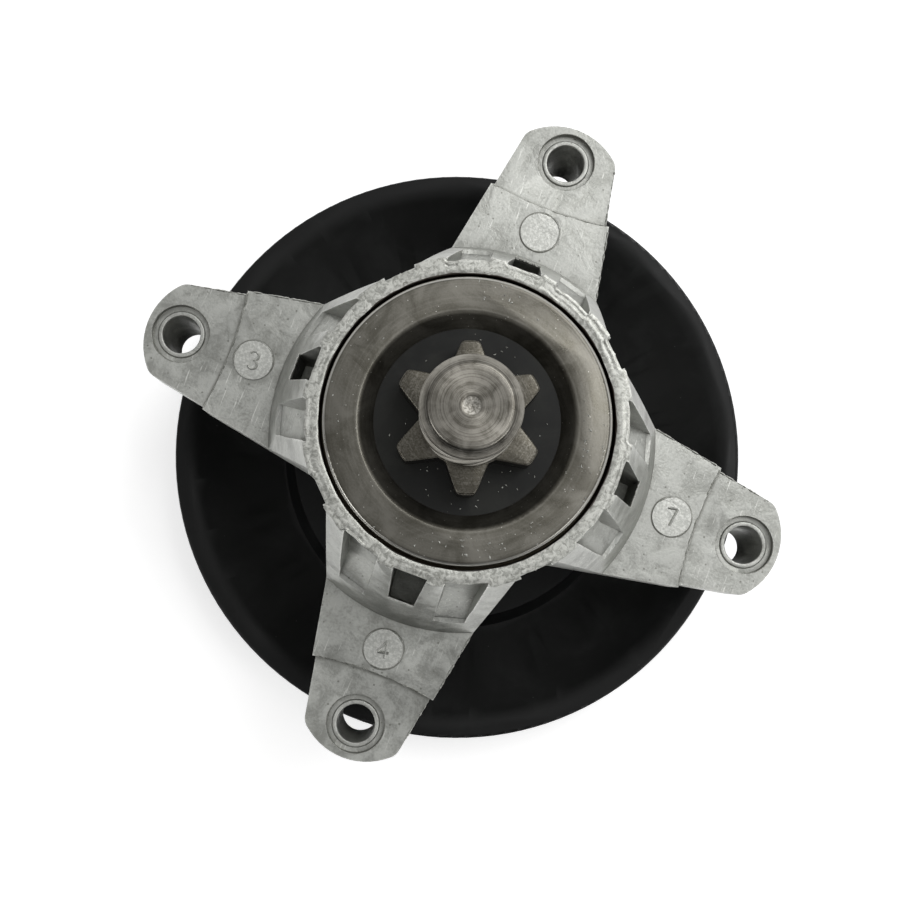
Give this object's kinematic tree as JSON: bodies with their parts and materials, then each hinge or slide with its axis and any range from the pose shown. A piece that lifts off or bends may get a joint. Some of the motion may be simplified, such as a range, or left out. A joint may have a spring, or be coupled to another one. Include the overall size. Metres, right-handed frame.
{
  "type": "mower deck spindle",
  "caption": "Mower deck spindle: die-cast housing with bolt arms and fluted hub, star-ended shaft turning in sealed ball bearings, and a pressed V-belt pulley.",
  "frame": {"origin": "on the spindle axis, in the plane of the pulley's far rim that the part stands on", "axes": "+Z along the spindle axis towards the blade end, +X and +Y along two neighbouring bolt arms"},
  "size_m": [0.1702, 0.1702, 0.1523],
  "materials": {
    "cast_aluminium": "as cast, tumbled, with trimmed bright rim",
    "turned_steel": "turned and oiled",
    "pressed_steel": "pressed, satin",
    "plated_steel": "zinc plated",
    "bearing_steel": "ground",
    "cage_steel": "machined",
    "black_rubber": "moulded, slightly glossy",
    "black_paint": "satin black paint"
  },
  "bodies": {
    "housing": {"spindle_housing": "cast_aluminium", "lower_outer_race": "bearing_steel", "lower_front_seal": "black_rubber", "lower_rear_seal": "black_rubber", "upper_outer_race": "bearing_steel", "upper_front_seal": "black_rubber", "upper_rear_seal": "black_rubber"},
    "rotor": {"spindle_shaft": "turned_steel", "dust_shield": "pressed_steel", "shaft_seal": "black_rubber", "lower_collar": "turned_steel", "bearing_spacer": "turned_steel", "lower_inner_race": "bearing_steel", "upper_inner_race": "bearing_steel", "pulley_hub": "turned_steel", "pulley_key": "turned_steel", "lower_sheave": "black_paint", "upper_sheave": "black_paint", "nut_washer": "plated_steel", "pulley_nut": "plated_steel"},
    "lower_ball_set": {"lower_balls": "bearing_steel", "lower_cage": "cage_steel"},
    "upper_ball_set": {"upper_balls": "bearing_steel", "upper_cage": "cage_steel"}
  },
  "joints": [
    {"name": "rotor_spin", "type": "hinge", "parent": "housing", "child": "rotor", "pos_m": [0, 0, 0], "axis": [0, 0, 1], "continuous": true},
    {"name": "lower_balls_orbit", "type": "hinge", "parent": "housing", "child": "lower_ball_set", "pos_m": [0, 0, 0], "axis": [0, 0, 1], "continuous": true},
    {"name": "upper_balls_orbit", "type": "hinge", "parent": "housing", "child": "upper_ball_set", "pos_m": [0, 0, 0], "axis": [0, 0, 1], "continuous": true}
  ],
  "couplings": [
    {"joint": "lower_balls_orbit", "follows": "rotor_spin", "ratio": 0.3821},
    {"joint": "upper_balls_orbit", "follows": "rotor_spin", "ratio": 0.3821}
  ]
}
